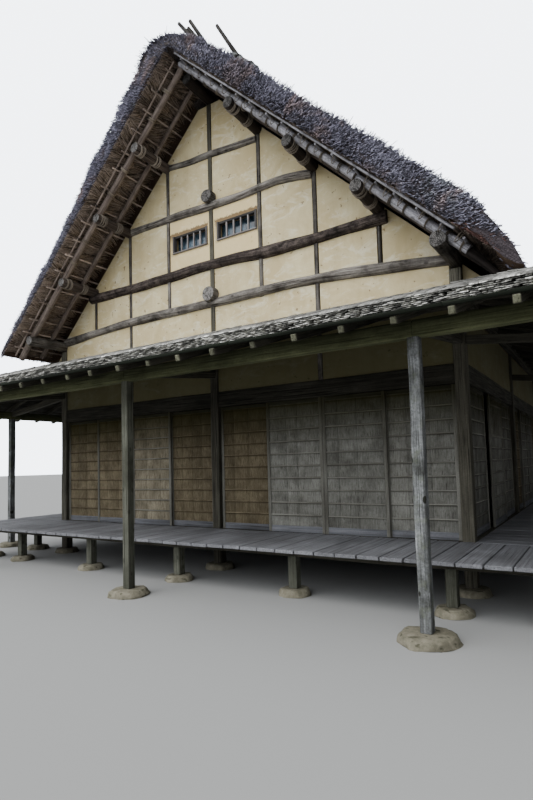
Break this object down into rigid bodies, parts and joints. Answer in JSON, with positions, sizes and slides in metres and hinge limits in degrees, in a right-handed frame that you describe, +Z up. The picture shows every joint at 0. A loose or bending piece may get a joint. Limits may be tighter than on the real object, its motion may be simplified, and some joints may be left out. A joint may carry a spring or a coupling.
{
  "type": "thatched farmhouse",
  "caption": "Thatched timber farmhouse with plastered gables, a shingled pent roof on posts and a raised veranda with sliding panels.",
  "frame": {"origin": "middle of the plan, on the ground under the foundation stones", "axes": "+Z up, the gable in the picture faces -Y, +X to the right seen from there, the ridge along Y"},
  "size_m": [12.18, 15.82, 8.1378],
  "materials": {
    "thatch": "weathered straw thatch",
    "log": "round weathered logs",
    "bamboo": "grey bamboo and thin poles",
    "timber": "squared weathered timber",
    "plaster": "ochre clay plaster",
    "glass": "window glass",
    "door_panel": "battened board panels",
    "deck": "grey worn planks",
    "shingle": "layered grey shingles"
  },
  "bodies": {
    "root": {"thatch_left": "thatch", "thatch_right": "thatch", "thatch_ridge": "thatch", "ridge_poles_front": "log", "ridge_poles_back": "log", "ridge_purlin": "log", "purlin_left_1": "log", "purlin_right_1": "log", "purlin_left_2": "log", "purlin_right_2": "log", "purlin_left_3": "log", "purlin_right_3": "log", "rafters_left": "bamboo", "rafters_right": "bamboo", "tie_log_lower": "log", "tie_log_upper": "log", "front_gable_frame": "log", "front_centre_post": "timber", "front_gable_plaster": "plaster", "front_gable_glass": "glass", "front_lintel": "timber", "back_gable_frame": "log", "back_centre_post": "timber", "back_gable_plaster": "plaster", "back_gable_glass": "glass", "back_lintel": "timber", "front_sill": "timber", "back_panels": "door_panel", "left_wall_frame": "timber", "left_wall_plaster": "plaster", "left_panels": "door_panel", "right_wall_frame": "timber", "right_wall_plaster": "plaster", "right_panels": "door_panel", "floor": "deck", "veranda_front": "deck", "veranda_back": "deck", "veranda_right": "deck", "veranda_left": "deck", "pent_roof_front": "shingle", "pent_roof_back": "shingle", "pent_roof_right": "shingle", "pent_roof_left": "shingle", "pent_frame_front": "timber", "pent_frame_back": "timber", "pent_frame_right": "timber", "pent_frame_left": "timber"},
    "front_door_left_1": {"front_door_left_1": "door_panel"},
    "front_door_left_2": {"front_door_left_2": "door_panel"},
    "front_door_left_3": {"front_door_left_3": "door_panel"},
    "front_door_left_4": {"front_door_left_4": "door_panel"},
    "front_door_right_1": {"front_door_right_1": "door_panel"},
    "front_door_right_2": {"front_door_right_2": "door_panel"},
    "front_door_right_3": {"front_door_right_3": "door_panel"},
    "front_door_right_4": {"front_door_right_4": "door_panel"},
    "right_door": {"right_door": "door_panel"}
  },
  "joints": [
    {"name": "front_door_left_1_slide", "type": "slide", "parent": "root", "child": "front_door_left_1", "axis": [-1, 0, 0], "range_m": [0, 0.85]},
    {"name": "front_door_left_2_slide", "type": "slide", "parent": "root", "child": "front_door_left_2", "axis": [1, 0, 0], "range_m": [0, 0.85]},
    {"name": "front_door_left_3_slide", "type": "slide", "parent": "root", "child": "front_door_left_3", "axis": [-1, 0, 0], "range_m": [0, 0.85]},
    {"name": "front_door_left_4_slide", "type": "slide", "parent": "root", "child": "front_door_left_4", "axis": [1, 0, 0], "range_m": [0, 0.85]},
    {"name": "front_door_right_1_slide", "type": "slide", "parent": "root", "child": "front_door_right_1", "axis": [1, 0, 0], "range_m": [0, 0.85]},
    {"name": "front_door_right_2_slide", "type": "slide", "parent": "root", "child": "front_door_right_2", "axis": [-1, 0, 0], "range_m": [0, 0.85]},
    {"name": "front_door_right_3_slide", "type": "slide", "parent": "root", "child": "front_door_right_3", "axis": [1, 0, 0], "range_m": [0, 0.85]},
    {"name": "front_door_right_4_slide", "type": "slide", "parent": "root", "child": "front_door_right_4", "axis": [-1, 0, 0], "range_m": [0, 0.85]},
    {"name": "right_door_slide", "type": "slide", "parent": "root", "child": "right_door", "axis": [0, 1, 0], "range_m": [-0.15, 1.12]}
  ]
}
